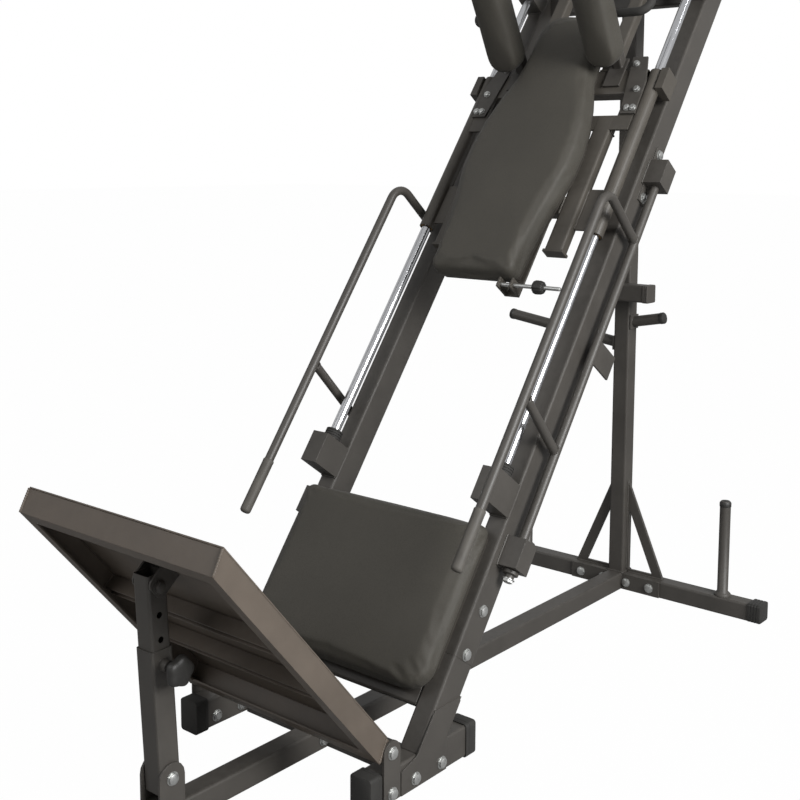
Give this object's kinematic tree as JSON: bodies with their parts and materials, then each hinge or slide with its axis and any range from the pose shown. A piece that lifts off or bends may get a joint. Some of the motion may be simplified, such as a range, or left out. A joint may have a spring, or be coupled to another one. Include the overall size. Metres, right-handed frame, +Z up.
{
  "type": "leg press hack squat machine",
  "caption": "Leg press and hack squat machine with inclined rails, a padded sliding carriage, an adjustable foot plate and swing-out safety handles.",
  "frame": {"origin": "bottom face of the front extension at the machine's centre line, level with the front of the two foot caps", "axes": "+X to the machine's right as seen from its front, +Y to the rear, +Z up"},
  "size_m": [1, 1.9103, 1.8521],
  "materials": {
    "black_paint": "satin",
    "grey_paint": "satin",
    "chrome": "polished",
    "zinc": "satin",
    "vinyl": "satin",
    "rubber": "matte",
    "plastic": "matte",
    "plywood": "matte",
    "bronze": "satin"
  },
  "bodies": {
    "base": {"rear_cross_beam": "black_paint", "rear_cap_left": "plastic", "rear_cap_right": "plastic", "centre_beam": "black_paint", "front_cross_beam": "black_paint", "front_extension": "black_paint", "rear_post": "black_paint", "stop_tube": "black_paint", "side_peg_left": "grey_paint", "side_peg_right": "grey_paint", "foot_left": "black_paint", "foot_right": "black_paint", "foot_cap_front_left": "rubber", "foot_cap_front_right": "rubber", "foot_cap_rear_left": "rubber", "foot_cap_rear_right": "rubber", "stub_left": "black_paint", "stub_right": "black_paint", "rail_left": "black_paint", "rail_right": "black_paint", "guide_rod_left": "chrome", "guide_rod_right": "chrome", "rod_bumper_left": "rubber", "rod_bumper_right": "rubber", "top_cross_member": "black_paint", "lower_pad": "vinyl", "lower_pad_board": "plywood", "pad_cross_bar_low": "black_paint", "pad_cross_bar_high": "black_paint", "hinge_bracket_left": "black_paint", "hinge_bracket_right": "black_paint", "strut_foot_bracket": "black_paint", "strut_foot_bolt": "zinc"},
    "carriage": {"carriage_frame": "grey_paint", "carriage_side_plate_left": "black_paint", "carriage_side_plate_right": "black_paint", "linear_bearing_left": "bronze", "linear_bearing_right": "bronze", "back_pad": "vinyl", "back_pad_board": "plywood", "shoulder_pad_left": "vinyl", "shoulder_pad_right": "vinyl", "shoulder_bracket_left": "black_paint", "shoulder_bracket_right": "black_paint", "hand_grip_left": "rubber", "hand_grip_right": "rubber", "loading_horn_left": "chrome", "loading_horn_right": "chrome"},
    "carriage_pin": {"pad_pull_pin": "plastic"},
    "foot_plate": {"foot_plate_frame": "grey_paint", "foot_plate_sheet": "grey_paint", "strut_top_bracket": "black_paint", "strut_top_bolt": "zinc"},
    "sleeve": {"strut_sleeve": "black_paint"},
    "inner_tube": {"strut_inner_tube": "black_paint"},
    "strut_pin": {"strut_pull_pin": "plastic"},
    "left_handle": {"handle_left": "black_paint", "handle_grip_left": "rubber"},
    "right_handle": {"handle_right": "black_paint", "handle_grip_right": "rubber"}
  },
  "joints": [
    {"name": "carriage_slide", "type": "slide", "parent": "base", "child": "carriage", "axis": [0, 0.5906, 0.807], "range_m": [-0.56, 0.28]},
    {"name": "carriage_pin_pull", "type": "slide", "parent": "carriage", "child": "carriage_pin", "axis": [1, 0, 0], "range_m": [0, 0.012]},
    {"name": "foot_plate_tilt", "type": "hinge", "parent": "base", "child": "foot_plate", "pos_m": [0, 0.062, 0.113], "axis": [1, 0, 0], "range_deg": [-8.2, 8.2]},
    {"name": "sleeve_swing", "type": "hinge", "parent": "base", "child": "sleeve", "pos_m": [0, -0.284, 0.11], "axis": [1, 0, 0], "range_deg": [-9, 9]},
    {"name": "strut_extend", "type": "slide", "parent": "sleeve", "child": "inner_tube", "axis": [0, -0.0525, 0.9986], "range_m": [-0.052, 0.052]},
    {"name": "strut_pin_pull", "type": "slide", "parent": "sleeve", "child": "strut_pin", "axis": [1, 0, 0], "range_m": [-0.01, 0.006]},
    {"name": "left_handle_swing", "type": "hinge", "parent": "base", "child": "left_handle", "pos_m": [-0.313, 0.75054, 0.81383], "axis": [0, 0.5906, 0.807], "range_deg": [-35, 0]},
    {"name": "right_handle_swing", "type": "hinge", "parent": "base", "child": "right_handle", "pos_m": [0.313, 0.75054, 0.81383], "axis": [0, 0.5906, 0.807], "range_deg": [0, 35]}
  ],
  "couplings": [
    {"joint": "sleeve_swing", "follows": "foot_plate_tilt", "ratio": 1.0381},
    {"joint": "strut_extend", "follows": "foot_plate_tilt", "m_per_rad": -0.34374}
  ]
}
